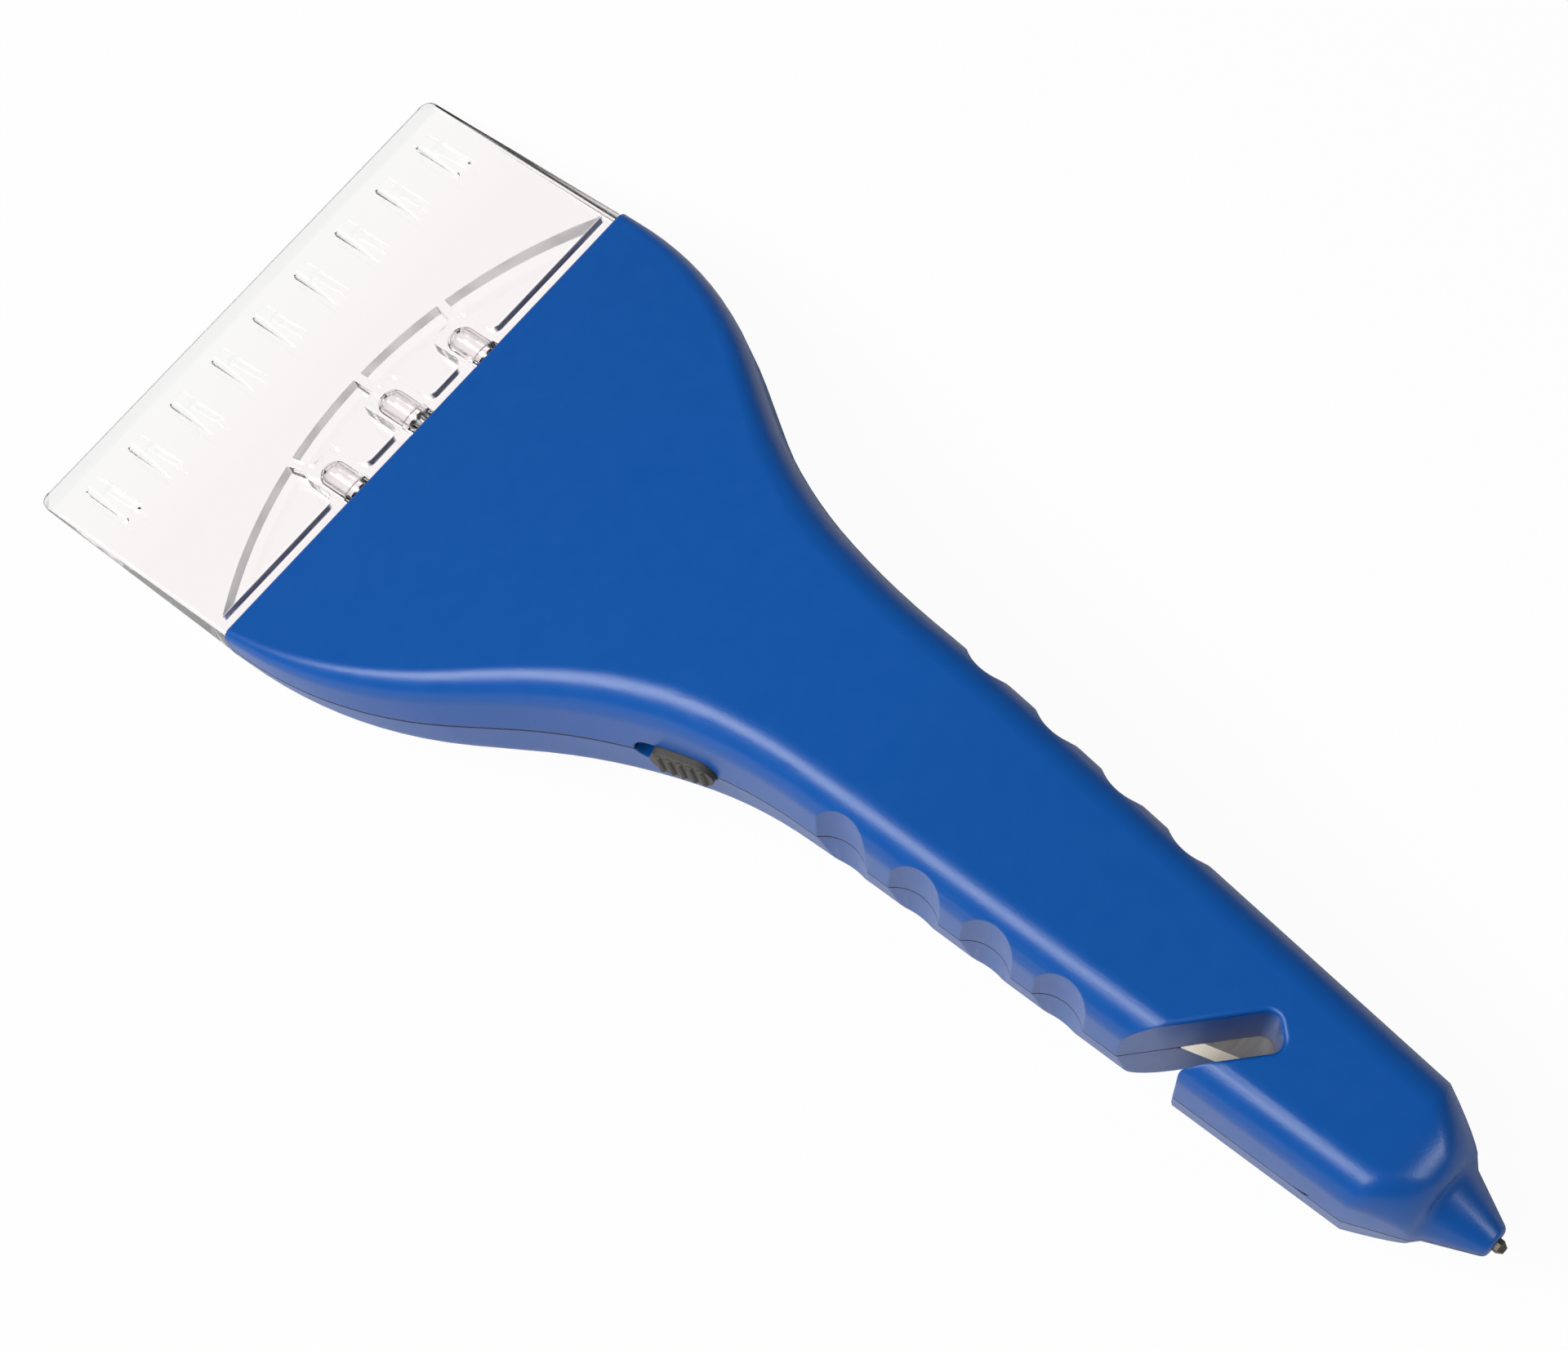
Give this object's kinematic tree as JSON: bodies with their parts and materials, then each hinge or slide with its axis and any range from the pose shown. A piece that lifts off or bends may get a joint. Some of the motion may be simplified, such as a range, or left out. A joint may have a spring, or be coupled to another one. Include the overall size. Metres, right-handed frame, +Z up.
{
  "type": "windshield ice scraper",
  "caption": "Windshield ice scraper: clear ribbed blade head with lamps, bent two-part grip with finger scoops, side light switch, belt-cutter notch and glass-breaker pin.",
  "frame": {"origin": "centre of the bottom of the bounding box, with the scraper lying on its back on a table", "axes": "+X from the scraping edge to the breaker pin, +Y to the side away from the switch and the belt cutter, +Z up"},
  "size_m": [0.2656, 0.0968, 0.0405],
  "materials": {
    "blue_plastic": "moulded, fine satin grain",
    "clear_plastic": "clear polished acrylic",
    "black_plastic": "moulded, fine matte",
    "blade_steel": "ground edge",
    "pin_steel": "dark hardened steel",
    "lamp_resin": "clear cast resin",
    "board_laminate": "bare laminate",
    "resistor_body": "matt",
    "nickel": "nickel plated",
    "cell_case": "plain sleeve",
    "switch_case": "moulded",
    "red_cover": "smooth",
    "orange_cover": "smooth",
    "black_cover": "smooth"
  },
  "bodies": {
    "housing": {"upper_shell": "blue_plastic", "lower_shell": "blue_plastic", "scraper_head": "clear_plastic", "switch_body": "switch_case", "switch_pins": "nickel", "led_board": "board_laminate", "led_near": "lamp_resin", "led_middle": "lamp_resin", "led_far": "lamp_resin", "led_leads": "nickel", "led_resistor": "resistor_body", "battery_near": "cell_case", "battery_far": "cell_case", "positive_contact": "nickel", "negative_contact": "nickel", "negative_spring": "nickel", "bridge_contact": "nickel", "bridge_spring": "nickel", "cutter_blade": "blade_steel", "breaker_pin": "pin_steel", "shell_screws": "nickel", "red_wire": "red_cover", "switch_wire": "orange_cover", "black_wire": "black_cover"},
    "slider": {"switch_slider": "black_plastic", "switch_lever": "black_plastic"},
    "door": {"battery_door": "blue_plastic"}
  },
  "joints": [
    {"name": "light_switch", "type": "slide", "parent": "housing", "child": "slider", "axis": [-0.9497, -0.2599, -0.1748], "range_m": [0, 0.003]},
    {"name": "door_tilt", "type": "hinge", "parent": "housing", "child": "door", "pos_m": [0.01748, 0, 0.01188], "axis": [0, 1, 0], "range_deg": [0, 35]}
  ]
}
